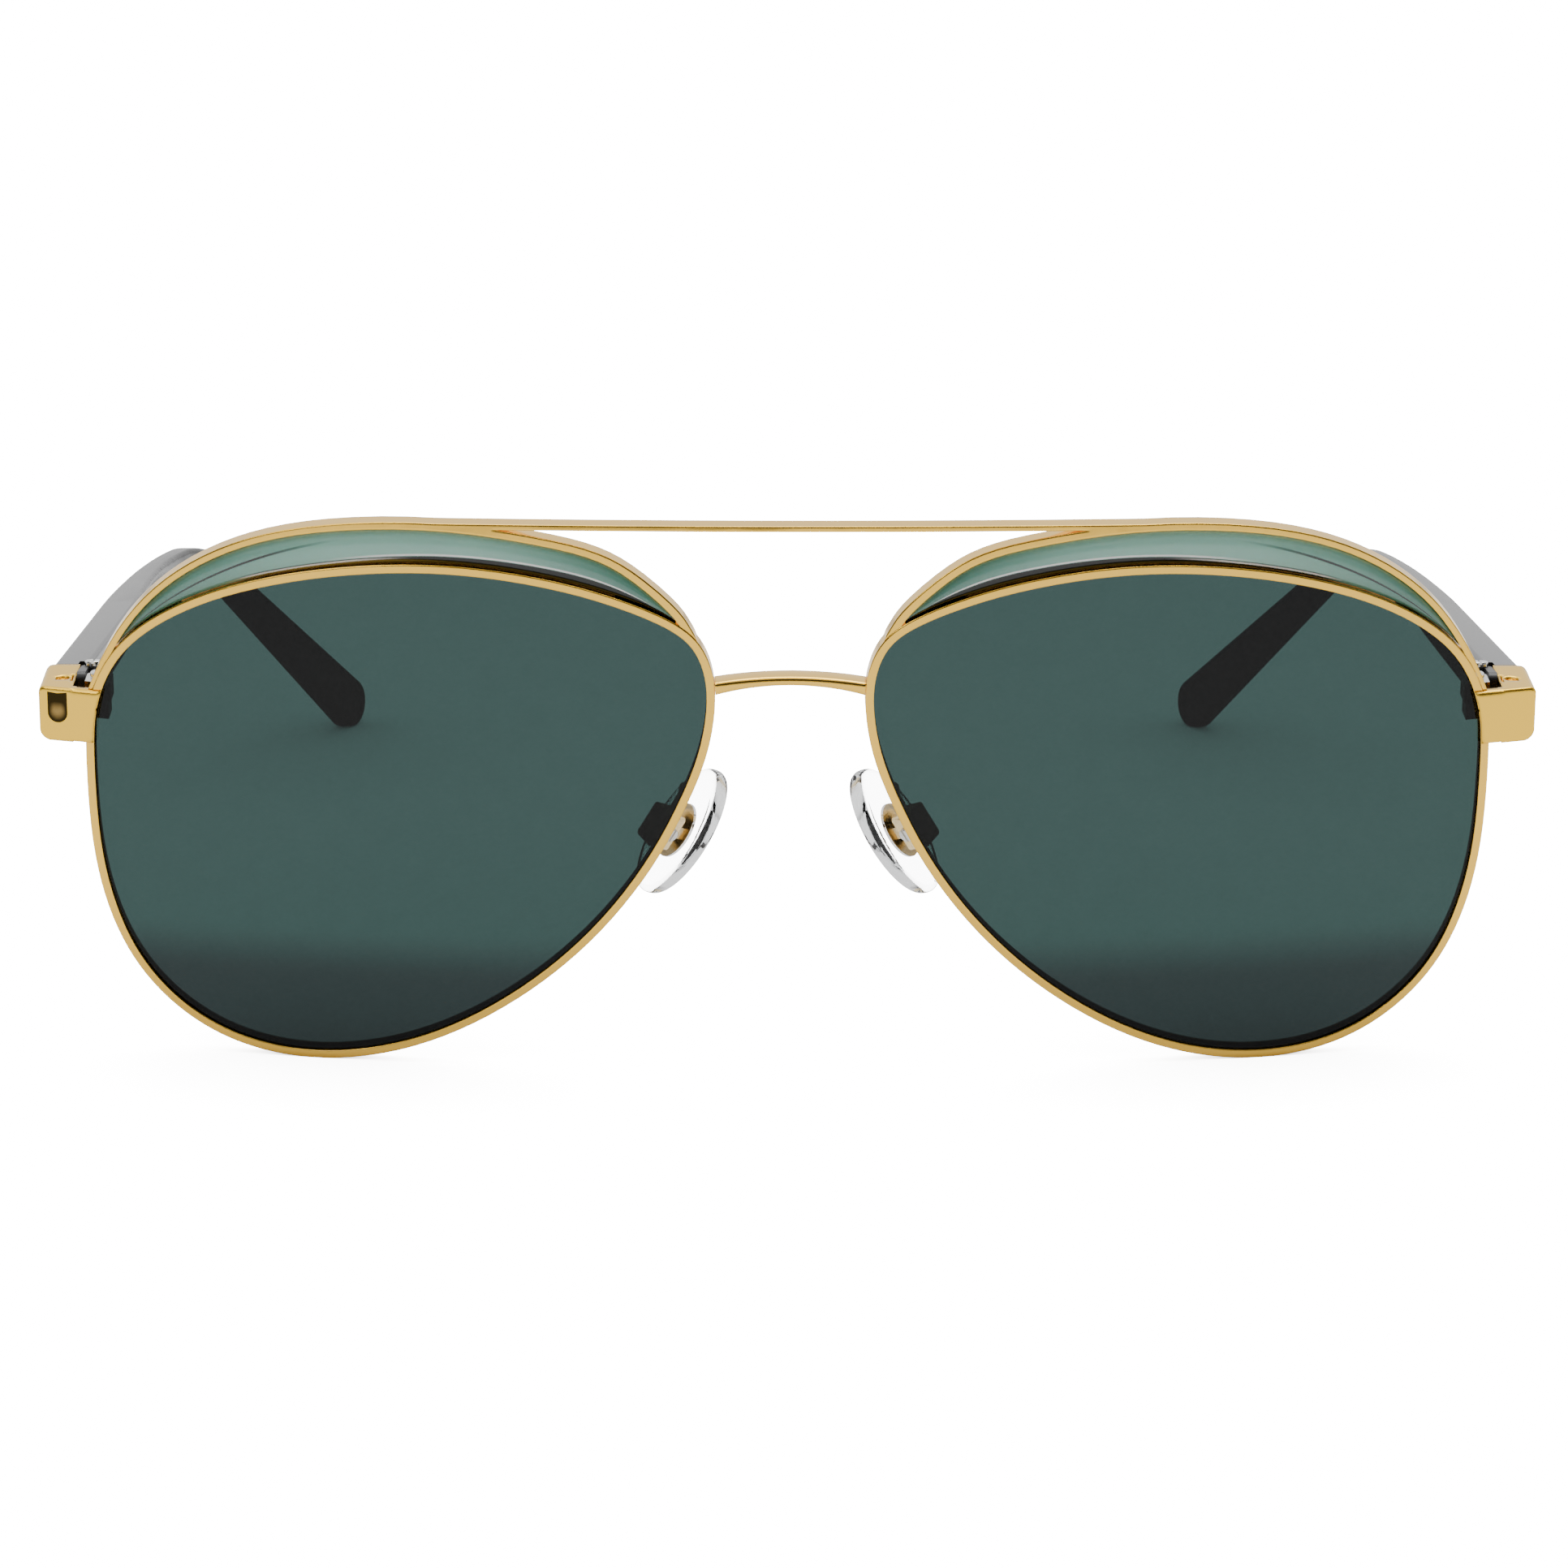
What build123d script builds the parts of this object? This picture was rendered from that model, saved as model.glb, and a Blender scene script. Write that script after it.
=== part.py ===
from build123d import *
import os
from math import acos, asin, atan2, cos, degrees, hypot, radians, sin, sqrt

# Aviator sunglasses, open on a table. Millimetres, +Z up, the lenses look along -Y,
# +X is the wearer's left. The front is drawn flat in (across, up), cut out of a curved
# sheet and leaned forward; each temple is drawn in its own frame at its hinge.

# ---- driving dimensions -------------------------------------------------------------

lens_width = 58.4          # opening of one rim, across
lens_height = 48.9         # opening of one rim, up
lens_gap = 15.7            # between the two openings, across the nose
wrap_radius = 250.0        # of the sphere that the front of the frame follows
wrap_centre = 27.8         # height of that sphere's centre above the openings' lowest point
front_lean = 5.0           # degrees that the top of the front leans forward

rim_face = 0.8             # rim width seen from the front
rim_depth = 2.2            # rim depth, front to back
rim_split = 0.2            # saw cut that the rim lock closes
groove_depth = 0.4         # lens groove, into the rim
groove_start = 0.75        # groove's front wall, behind the rim's front face
groove_width = 0.9

lens_recess = 0.25         # lens front behind the rim's front face
lens_thickness = 1.8
lens_clearance = 0.05      # lens edge and lip in the rim

brow_face = 0.62           # width of the brow arcs seen from the front
brow_widening = 0.3        # how much wider it is at the nose, as a share
brow_depth = 2.1
brow_leg = 0.5             # width of the brow arc beside the rim, where it meets the endpiece
bar_height = 0.5           # top bar, seen from the front
bar_rise = 0.5             # crown of the top bar at the middle
insert_recess = 0.7        # coloured insert behind the brow's front face
insert_thickness = 1.1
insert_clearance = 0.05

bridge_level = 37.6        # bridge's lower edge at the rims
bridge_arch = 1.25         # rise of its lower edge at the middle
bridge_end_height = 1.35
bridge_mid_height = 0.85
bridge_depth = 2.6
bridge_proud = 0.1         # bridge in front of the rims
bridge_edge = 0.34         # rounding of its long edges

endpiece_level = 32.93     # middle of the endpieces
endpiece_height = 5.25
endpiece_outer = 71.45     # half the front's overall width
endpiece_proud = 0.45      # plate in front of the rim's front face
endpiece_plate = 1.0       # plate thickness beside the block
endpiece_length = 6.9      # block, front to back
endpiece_width = 3.25      # block, across
block_corner = 1.1         # rounding of the block's outer corner at the back
endpiece_corner = 1.1      # rounding of the outer corners
endpiece_edge = 0.3        # rounding of the plate's top edge
solder_gap = 0.02          # film between soldered faces

pocket_radius = 0.62       # screw pocket in the block's top
pocket_depth = 0.75
pocket_back = 2.7          # pocket's middle behind the plate's front
pocket_inset = 2.1         # pocket's middle from the block's outer face
pocket_nose = 0.75         # pocket's outer end from its middle
slot_width = 0.25          # slot beside the pocket
slot_length = 2.0
slot_wall = 0.1            # between the pocket and the slot
fixing_radius = 0.35       # shank of the screw in the pocket
fixing_head_radius = 0.45
fixing_length = 3.4
screw_clearance = 0.03     # screws that stay put, in their bores
driver_slot = 0.25         # width of the screwdriver slots
driver_depth = 0.2
head_edge = 0.15           # rounding of the screw heads

lock_level = 33.6          # saw cut through the rim
lock_width = 2.5           # upper block of the rim lock, across
lock_lower_width = 2.0
lock_depth = 2.7
lock_upper_height = 1.9
lock_lower_height = 1.5
lock_corner = 0.5
lock_clearance = 0.15      # between the lock and the hinge leaf
lock_screw_radius = 0.5
lock_head_radius = 0.85
lock_head_height = 0.55

hinge_level = 33.1         # middle of the hinge, at the front
hinge_inset = 1.2          # hinge axis inside the block's inner face
hinge_back = 0.3           # hinge axis behind the block's back face
knuckle_radius = 1.0
knuckle_outer = 1.25       # height of each of the front's two knuckles
knuckle_middle = 1.6       # height of the temple's knuckle
knuckle_gap = 0.1
hinge_leaf = 0.8           # leaf thickness
hinge_front_leaf = 4.5     # leaf length along the block, from the axis
hinge_back_leaf = 7.0      # leaf length let into the temple, from the axis
hinge_screw_radius = 0.55
hinge_screw_clearance = 0.04
hinge_head_radius = 0.85
hinge_head_height = 0.5
hinge_seat = 0.05          # film between a leaf and what it is fixed to
leaf_corner = 0.8          # rounding of the front leaf's free corners
leaf_start = 1.9           # where the temple's leaf begins behind the axis
leaf_half = 1.5            # half the height of the temple's leaf
knuckle_room = 0.25        # round the knuckles, in the temple
head_room = 0.3            # above the screw's head and below the knuckles
room_depth = 1.4           # of the space for the hinge in the temple's end

temple_height = 4.7
temple_thickness = 3.65
temple_outer = 70.9        # half the width over the temples, at the hinges
temple_gap = 0.3           # between the block's back face and the temple's end
temple_edge = 0.6          # rounding of the temple's long edges
temple_straight = 85.0     # hinge to ear bend
ear_radius = 24.0          # of the temple's middle line, were it as high as at the hinge
ear_height = 2.8           # height of the temple at the ear bend
ear_thickness = 2.5        # thickness from the ear bend to the tip
tip_reach = 130.6          # hinge axis to the middle of the tip's rounding, along the temple
tip_drop = 22.2            # how far that lies below the temple's middle line
tip_radius = 2.8           # rounding of the paddle's end, half the paddle's height
bow_start = 42.0           # where the temple begins to bow inward
bow_radius = 400.0
bow_angle = 5.0
hug_radius = 75.0          # tighter bow at the ear
hug_angle = 14.7
core_height = 1.5          # flat wire inside the temple
core_thickness = 0.9
core_clearance = 0.05
core_share = 0.72          # how far the wire runs from the ear bend to the tip
temple_stock = 5.0         # drawn in front of the axis, then cut off at the block

pad_across = 10.2          # middle of a nose pad from the centre line
pad_level = 21.5
pad_back = 8.2             # behind the front face of the rims
pad_splay = 38.0           # degrees that the pads open towards the face
pad_flare = 31.0           # degrees that the pads open downward
pad_length = 14.0
pad_width = 6.6
pad_thickness = 2.3
pad_edge = 1.0             # rounding of the pad's edges
core_plate_length = 5.8    # metal core moulded into the pad
core_plate_width = 3.4
core_plate_thickness = 0.5
core_plate_cover = 0.5     # of pad behind the plate
lug_radius = 0.75
lug_thickness = 1.2
lug_reach = 1.5            # pad screw behind the pad's back face
box_length = 3.8
box_width = 2.6
box_wall = 0.45
box_corner = 0.4
box_gap = 0.6              # between the box and the pad's back face
pad_play = 0.12            # lug in its box
pad_screw_radius = 0.42
pad_screw_clearance = 0.04
pad_screw_head = 0.7
pad_head_height = 0.35
pad_screw_end = 0.05       # screw beyond the box at each end
arm_radius = 0.5
arm_level = 27.6           # where the pad arm leaves the rim
arm_straight = 1.2         # behind the rim before it turns down
arm_landing = 1.5          # straight end above the box

# Lens opening as shares of its half width and half height, from the nose, anticlockwise.
LENS_SHAPE = [
    (-0.884, 0.049), (-0.627, -0.415), (-0.337, -0.725), (0.009, -0.940), (0.293, -1.001),
    (0.598, -0.931), (0.848, -0.682), (0.974, -0.294), (1.000, 0.147), (0.986, 0.380),
    (0.902, 0.598), (0.747, 0.756), (0.409, 0.919), (0.110, 0.984), (-0.170, 0.999),
    (-0.461, 0.964), (-0.798, 0.852), (-0.961, 0.723), (-1.000, 0.498),
]
# Upper edge of the brow in the same shares, from the endpiece over the top to the nose.
BROW_SHAPE = [
    (0.952, 0.615), (0.827, 0.829), (0.512, 1.082), (0.142, 1.181), (-0.207, 1.189),
    (-0.478, 1.150), (-0.702, 1.075), (-0.838, 0.963), (-0.942, 0.831),
]
BROW_NASAL_END = (-0.974, 0.746)

# ---- values that follow from them ---------------------------------------------------

lens_x = (lens_gap + lens_width) / 2
lens_z = lens_height / 2
reach_through = 60.0       # longer than any cut needs
offset_points = 48         # points that carry an outline over to its offset
endpiece_top = endpiece_level + endpiece_height / 2
block_inner = endpiece_outer - endpiece_width
hinge_x = block_inner - hinge_inset
hinge_top = knuckle_middle / 2 + knuckle_gap + knuckle_outer
leaf_inner = hinge_inset - hinge_seat - hinge_leaf
ear_outer = ear_radius + temple_height / 2
ear_middle = ear_outer - ear_height / 2


def lens_point(share):
    """Point in (across, up) for a pair of shares of the opening's half sizes."""
    return (lens_x + share[0] * lens_width / 2, lens_z + share[1] * lens_height / 2)


OPENING_EDGE = Spline([lens_point(p) for p in LENS_SHAPE], periodic=True)


def beside(edge, share, amount):
    """Point outside an anticlockwise edge, at a share of its length."""
    point, along = edge @ share, edge % share
    return (point.X + along.Y * amount, point.Y - along.X * amount)


def opening_grown(amount):
    """Outline of the lens opening moved outward, or inward where the amount is negative."""
    points = [beside(OPENING_EDGE, i / offset_points, amount) for i in range(offset_points)]
    return make_face(Spline(points, periodic=True))


def opening_reach(level, outer=True):
    """How far across the opening's edge lies at a height, on its outer or nasal side."""
    points = [OPENING_EDGE @ (i / 2000) for i in range(2000)]
    side = [p for p in points if (p.X > lens_x) == outer]
    return min(side, key=lambda p: abs(p.Y - level)).X


def sag(across, level):
    """Depth of the sphere's front face at a place on the front."""
    return wrap_radius - sqrt(wrap_radius**2 - across**2 - (level - wrap_centre) ** 2)


def prism(face):
    """A flat (across, up) outline carried from front to back through everything."""
    return extrude(Plane.XZ * face, amount=reach_through / 2, both=True)


def ball(depth):
    """The front's sphere, smaller by a depth behind the rim's front face."""
    return Pos(0, wrap_radius, wrap_centre) * Sphere(wrap_radius - depth)


def sheet(face, front, back):
    """A flat outline cut out of the curved sheet between two depths."""
    return (prism(face) & ball(front)) - ball(back)


def slotted_screw(radius, low, high, head_radius, head_height):
    """Upright screw with a slotted head on its upper end."""
    shank = Pos(0, 0, (low + high) / 2) * Cylinder(radius, high - low)
    head = Pos(0, 0, high + head_height / 2) * Cylinder(head_radius, head_height)
    head = fillet(head.edges().group_by(Axis.Z)[-1], head_edge)
    slot = Box(driver_slot, 3 * head_radius, 2 * driver_depth)
    return shank + head - Pos(0, 0, high + head_height) * slot


def both_sides(shape):
    """A left-hand shape with its mirror image."""
    return shape + mirror(shape, about=Plane.YZ)


def box_between(low, high):
    """A box from its lowest to its highest corner."""
    size = [b - a for a, b in zip(low, high)]
    middle = [(a + b) / 2 for a, b in zip(low, high)]
    return Pos(*middle) * Box(*size)


# ---- the front, drawn upright; left side (+X) only unless it crosses the middle ------

OPENING = opening_grown(0)
RIM_OUTLINE = opening_grown(rim_face)
SOLDER_OUTLINE = opening_grown(rim_face + solder_gap)


def make_rim():
    """Grooved rim, cut through on its outer side at the rim lock."""
    rim = sheet(RIM_OUTLINE, 0, rim_depth) - prism(OPENING)
    rim -= sheet(opening_grown(groove_depth), groove_start, groove_start + groove_width)
    cut = box_between(
        (lens_x, -reach_through, lock_level - rim_split / 2),
        (endpiece_outer, reach_through, lock_level + rim_split / 2),
    )
    return rim - cut


def make_lens():
    """Lens with a lip that stands in the rim's groove."""
    body = sheet(opening_grown(-lens_clearance), lens_recess, lens_recess + lens_thickness)
    lip = sheet(
        opening_grown(groove_depth - lens_clearance),
        groove_start + lens_clearance,
        groove_start + groove_width - lens_clearance,
    )
    return body + lip


def brow_outline(inset=0.0):
    """Outline under the brow's upper edge, or inset from it, closed through the lens."""
    start = (opening_reach(endpiece_top) + rim_face + brow_leg, endpiece_top + solder_gap)
    nasal = lens_point(BROW_NASAL_END)
    crest = Spline([start] + [lens_point(p) for p in BROW_SHAPE] + [nasal])
    shares = [i / offset_points for i in range(offset_points + 1)]
    points = [beside(crest, s, -inset * (1 + brow_widening * s**2)) for s in shares]
    moved = Spline(points, tangents=[crest % 0, crest % 1])
    floor = Polyline([moved @ 1, (lens_x, start[1]), moved @ 0])
    return make_face([moved] + floor.edges())


def window_outline(inset=0.0):
    """The opening between a brow arc and its rim, or a smaller outline inside it."""
    return brow_outline(brow_face + inset) - opening_grown(rim_face + solder_gap + inset)


def top_bar_outline():
    """The bar over the nose, as long as the distance between the lens centres."""
    top = lens_point(BROW_SHAPE[4])[1]
    half = lens_x
    upper = ThreePointArc((-half, top), (0, top + bar_rise), (half, top))
    lower_end = top - bar_height
    lower = ThreePointArc((half, lower_end), (0, lower_end + bar_rise), (-half, lower_end))
    ends = [Line(upper @ 1, lower @ 0), Line(lower @ 1, upper @ 0)]
    return make_face([upper, lower] + ends)


def make_brow_bar():
    """Both brow arcs and the top bar, one piece."""
    arc = brow_outline() - brow_outline(brow_face) - SOLDER_OUTLINE
    flat = arc + mirror(arc, about=Plane.YZ) + top_bar_outline()
    return sheet(flat, 0, brow_depth)


def make_insert():
    """Coloured crescent let into the window of a brow."""
    return sheet(
        window_outline(insert_clearance), insert_recess, insert_recess + insert_thickness
    )


def make_bridge():
    """Arched bridge between the two rims."""
    half = opening_reach(bridge_level + bridge_end_height / 2, outer=False)
    low, mid = bridge_level, bridge_level + bridge_arch
    lower = ThreePointArc((-half, low), (0, mid), (half, low))
    upper_end = low + bridge_end_height
    upper = ThreePointArc((half, upper_end), (0, mid + bridge_mid_height), (-half, upper_end))
    ends = [Line(lower @ 1, upper @ 0), Line(upper @ 1, lower @ 0)]
    flat = make_face([lower, upper] + ends)
    bar = sheet(flat, -bridge_proud, bridge_depth - bridge_proud)
    bar = fillet(bar.edges().filter_by(lambda e: e.length > half), bridge_edge)
    return bar - both_sides(prism(SOLDER_OUTLINE))


def endpiece_front():
    """Depth of the endpiece's front face at its outer side."""
    return sag(endpiece_outer, endpiece_level) - endpiece_proud


BLOCK_BACK = endpiece_front() + endpiece_length


def make_endpiece():
    """Plate over the rim's outer side and the block that carries the hinge."""
    low, high = endpiece_level - endpiece_height / 2, endpiece_top
    seen = make_face(Polyline([
        (lens_x, low), (endpiece_outer, low), (endpiece_outer, high), (lens_x, high), (lens_x, low),
    ]))
    outer = seen.vertices().group_by(Axis.X)[-1]
    seen = fillet(outer.sort_by(Axis.Y)[0], endpiece_corner)
    seen = fillet(seen.vertices().group_by(Axis.Y)[-1].sort_by(Axis.X)[-1], endpiece_corner / 2)
    seen -= opening_grown(lens_clearance)
    plate = sheet(seen, -endpiece_proud, endpiece_plate - endpiece_proud)
    top_edges = plate.edges().filter_by(GeomType.CIRCLE).filter_by(
        lambda e: e.center().Z > high - 0.01 and e.center().Y < sag(block_inner, high)
    )
    plate = fillet(top_edges, endpiece_edge)
    space = box_between((block_inner, -reach_through, low), (endpiece_outer, BLOCK_BACK, high))
    back_edges = space.edges().filter_by(Axis.Z).group_by(Axis.Y)[-1]
    space = fillet(back_edges.sort_by(Axis.X)[-1], block_corner)
    whole = plate + (prism(seen) & ball(-endpiece_proud) & space)
    whole -= prism(SOLDER_OUTLINE) & ball(-solder_gap)
    return whole - screw_pocket()


def screw_pocket():
    """Pocket for the fixing screw, its bore, and the slot beside it."""
    x = endpiece_outer - pocket_inset
    y = endpiece_front() + pocket_back
    top = endpiece_top
    floor = top - pocket_depth
    pocket = Pos(x, y, top - pocket_depth / 2) * Cylinder(pocket_radius, pocket_depth)
    nose = box_between((x, y - pocket_radius, floor), (x + pocket_nose, y + pocket_radius / 2, top))
    radius = fixing_radius + screw_clearance
    bore = Pos(x, y, top - fixing_length / 2) * Cylinder(radius, fixing_length)
    slot_x = x - pocket_radius - slot_wall - slot_width / 2
    slot = Pos(slot_x, y, top - pocket_depth / 2) * Box(slot_width, slot_length, pocket_depth)
    return pocket + nose + bore + slot


def make_fixing_screw():
    """Round-headed screw in the block's pocket; it holds the hinge leaf."""
    x = endpiece_outer - pocket_inset
    y = endpiece_front() + pocket_back
    floor = endpiece_top - pocket_depth + solder_gap
    shank_length = fixing_length - pocket_depth - screw_clearance
    shank = Pos(x, y, floor - shank_length / 2) * Cylinder(fixing_radius, shank_length)
    head = Pos(x, y, floor) * Sphere(fixing_head_radius)
    upper_half = Pos(x, y, floor + fixing_head_radius) * Box(*[2 * fixing_head_radius] * 3)
    return shank + (head & upper_half)


def lock_place():
    """Middle of the rim lock: across, and the depth of its front face."""
    outer = block_inner - hinge_seat - hinge_leaf - lock_clearance
    return outer - lock_width / 2, sag(outer, lock_level) + rim_depth + solder_gap


def make_lock(upper):
    """One half of the closing block behind the rim's saw cut."""
    across, front = lock_place()
    width = lock_width if upper else lock_lower_width
    height = lock_upper_height if upper else lock_lower_height
    start = lock_level + (rim_split / 2 if upper else -rim_split / 2 - height)
    block = box_between(
        (across - width / 2, front - lock_depth, start),
        (across + width / 2, front + lock_depth, start + height),
    )
    block = fillet(block.edges().filter_by(Axis.Z), lock_corner)
    block &= ball(rim_depth + solder_gap)
    bore = Cylinder(lock_screw_radius + screw_clearance, 2 * reach_through)
    return block - Pos(across, front + lock_depth / 2, 0) * bore


def make_lock_screw():
    """Screw that draws the two halves of the rim lock together."""
    across, front = lock_place()
    bottom = lock_level - rim_split / 2 - lock_lower_height
    top = lock_level + rim_split / 2 + lock_upper_height + solder_gap
    return Pos(across, front + lock_depth / 2, 0) * slotted_screw(
        lock_screw_radius, bottom, top, lock_head_radius, lock_head_height
    )


# ---- nose pads, drawn at the pad: x away from the nose, y to the face, z up the pad ----

PAD_DEPTH = sag(pad_across, pad_level) + pad_back
PAD_PLACE = Pos(pad_across, PAD_DEPTH, pad_level) * Rot(0, -pad_flare, 0) * Rot(0, 0, -pad_splay)
pad_back_face = pad_thickness / 2
plate_back = pad_back_face - core_plate_cover
screw_out = pad_back_face + lug_reach


def make_pad():
    """Soft oval pad, rounded at its edges, moulded round its metal core."""
    flat = Ellipse(pad_width / 2, pad_length / 2)
    body = extrude(Plane.YZ * flat, amount=pad_thickness / 2, both=True)
    body = fillet(body.edges(), pad_edge)
    plate = pad_plate(solder_gap)
    half = lug_thickness / 2 + solder_gap
    stem = box_between((plate_back, -half, -half), (pad_back_face, half, half))
    return body - plate - stem


def pad_plate(extra=0.0):
    """Oval plate inside the pad, or the space for it where extra is its clearance."""
    flat = Ellipse(core_plate_width / 2 + extra, core_plate_length / 2 + extra)
    return extrude(
        Plane.YZ.offset(plate_back + extra) * flat, amount=-core_plate_thickness - 2 * extra
    )


def make_pad_core():
    """Metal core: the plate in the pad and the lug that rocks in the pad box."""
    half = lug_thickness / 2
    stem = box_between((plate_back, -half, -half), (screw_out, half, half))
    eye = Pos(screw_out, 0, 0) * Rot(90, 0, 0) * Cylinder(lug_radius, lug_thickness)
    bore = Pos(screw_out, 0, 0) * Rot(90, 0, 0) * Cylinder(
        pad_screw_radius + pad_screw_clearance, box_width
    )
    return pad_plate() + stem + eye - bore


def pad_box_back():
    """Back of the pad box, measured from the pad's middle."""
    return screw_out + lug_radius + pad_play + box_wall


def make_pad_box():
    """Open box that the pad's lug rocks in."""
    mouth = pad_back_face + box_gap
    back = pad_box_back()
    outside = box_between(
        (mouth, -box_width / 2, -box_length / 2), (back, box_width / 2, box_length / 2),
    )
    outside = fillet(outside.edges().filter_by(Axis.X), box_corner)
    half_slot = lug_thickness / 2 + pad_play
    inside = box_between(
        (mouth, -half_slot, -box_length / 2 + box_wall),
        (back - box_wall, half_slot, box_length / 2 - box_wall),
    )
    bore = Pos(screw_out, 0, 0) * Rot(90, 0, 0) * Cylinder(
        pad_screw_radius + screw_clearance, box_width
    )
    return outside - inside - bore


def make_pad_screw():
    """Screw across the pad box; its head is on the side away from the face."""
    half = box_width / 2 + pad_screw_end
    return Pos(screw_out, 0, 0) * Rot(90, 0, 0) * slotted_screw(
        pad_screw_radius, -half, half, pad_screw_head, pad_head_height
    )


def make_pad_arm():
    """Wire from the back of the rim, bent down onto the top of the pad box."""
    across = opening_reach(arm_level, outer=False) - rim_face / 2
    back = sag(across, arm_level) + rim_depth + solder_gap
    target = (PAD_PLACE * Pos(screw_out, 0, box_length / 2 + solder_gap)).position
    above = (PAD_PLACE * Pos(screw_out, 0, box_length / 2 + arm_landing)).position
    points = [(across, back, arm_level), (across, back + arm_straight, arm_level), above, target]
    path = Spline(points, tangents=[(0, 1, 0), tuple(target - above)])
    section = Plane(origin=path @ 0, z_dir=path % 0) * Circle(arm_radius)
    return sweep(section, path=path)


# ---- temples, drawn at the hinge: x outward from the axis, y along, z up the axis ------

def make_front_hinge():
    """Leaf on the block's inner face with the upper and lower knuckle."""
    outer = leaf_inner + hinge_leaf
    leaf = box_between(
        (leaf_inner, -hinge_front_leaf, -hinge_top), (outer, -knuckle_radius, hinge_top),
    )
    body = fillet(leaf.edges().filter_by(Axis.X).group_by(Axis.Y)[0], leaf_corner)
    for bottom in (-hinge_top, hinge_top - knuckle_outer):
        middle = Pos(0, 0, bottom + knuckle_outer / 2)
        web = box_between((leaf_inner, -knuckle_radius, bottom), (outer, 0, bottom + knuckle_outer))
        web &= middle * Cylinder(hinge_inset + knuckle_radius, knuckle_outer)
        body += middle * Cylinder(knuckle_radius, knuckle_outer) + web
    gap = knuckle_middle / 2 + knuckle_gap
    swing = knuckle_radius + knuckle_room
    body -= Cylinder(swing, 2 * gap)
    return body - Cylinder(hinge_screw_radius + screw_clearance, reach_through)


def make_temple_hinge():
    """Middle knuckle with the leaf that is let into the temple's inner face."""
    half = knuckle_middle / 2
    outer = leaf_inner + hinge_leaf
    knuckle = Cylinder(knuckle_radius, knuckle_middle)
    web = box_between((leaf_inner, 0, -half), (outer, leaf_start + hinge_leaf, half))
    leaf = box_between((leaf_inner, leaf_start, -leaf_half), (outer, hinge_back_leaf, leaf_half))
    bore = Cylinder(hinge_screw_radius + hinge_screw_clearance, reach_through)
    return knuckle + web + leaf - bore


def make_hinge_screw():
    """Hinge screw, seated on the upper knuckle."""
    return slotted_screw(
        hinge_screw_radius, -hinge_top, hinge_top + solder_gap, hinge_head_radius, hinge_head_height
    )


def side_profile(half, outer, inner, tip, end):
    """Side view: two long edges round the ear bend, and a round end.

    half is half the height at the hinge, outer and inner are the radii at the ear bend,
    tip is the radius of the end and end is its middle.
    """
    centre = (temple_straight, -ear_radius)

    def touch(point, radius, turn):
        """Direction from the bend's centre to where a line from a point touches a circle."""
        along, up = point[0] - centre[0], point[1] - centre[1]
        return atan2(up, along) + turn * acos(radius / hypot(along, up))

    def at(point, radius, angle):
        return (point[0] + radius * cos(angle), point[1] + radius * sin(angle))

    high, low = (-temple_stock, half), (-temple_stock, -half)
    rise, fall = touch(high, outer, -1), touch(end, outer - tip, 1)
    back, under = touch(low, inner, -1), touch(end, inner + tip, 1)
    nose = (fall + under - radians(180)) / 2
    edges = [
        Line(high, at(centre, outer, rise)),
        ThreePointArc(*[at(centre, outer, a) for a in (rise, (rise + fall) / 2, fall)]),
        Line(at(centre, outer, fall), at(end, tip, fall)),
        ThreePointArc(at(end, tip, fall), at(end, tip, nose), at(end, -tip, under)),
        Line(at(end, -tip, under), at(centre, inner, under)),
        ThreePointArc(*[at(centre, inner, a) for a in (under, (under + back) / 2, back)]),
        Line(at(centre, inner, back), low),
        Line(low, high),
    ]
    return extrude(Plane.YZ * make_face(edges), amount=reach_through, both=True)


def plan_profile(near, far):
    """Plan view: straight, a long bow, a tighter bow, and straight again.

    near and far are the distances of the two sides inside the temple's outer side; each is
    a pair, at the hinge and from the ear to the tip.
    """
    start = (temple_outer - hinge_x, -temple_stock)
    line = Line(start, (start[0], bow_start))
    bow = JernArc(line @ 1, line % 1, bow_radius, bow_angle)
    hug = JernArc(bow @ 1, bow % 1, hug_radius, hug_angle)
    straight_end = tip_reach + 3 * tip_radius - temple_straight
    last = Line(hug @ 1, hug @ 1 + (hug % 1) * straight_end)

    def side(hinge_amount, ear_amount):
        middle_amount = (hinge_amount + ear_amount) / 2
        curve = Spline(
            [
                beside(bow, 0, -hinge_amount),
                beside(bow, 0.5, -middle_amount),
                beside(bow, 1, -ear_amount),
                beside(hug, 0.5, -ear_amount),
                beside(hug, 1, -ear_amount),
            ],
            tangents=[line % 1, hug % 1],
        )
        return [
            Line(beside(line, 0, -hinge_amount), curve @ 0),
            curve,
            Line(curve @ 1, beside(last, 1, -ear_amount)),
        ]

    outside, inside = side(*near), side(*far)
    caps = [Line(outside[0] @ 0, inside[0] @ 0), Line(outside[-1] @ 1, inside[-1] @ 1)]
    return extrude(make_face(outside + inside + caps), amount=reach_through, both=True)


def core_end(end):
    """Middle of the wire's end, on the line from the ear bend to the tip's middle."""
    along, up = end[0] - temple_straight, end[1] + ear_radius
    angle = atan2(up, along) + acos(ear_middle / hypot(along, up))
    bend = (temple_straight + ear_middle * cos(angle), ear_middle * sin(angle) - ear_radius)
    return tuple(b + core_share * (e - b) for b, e in zip(bend, end))


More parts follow.
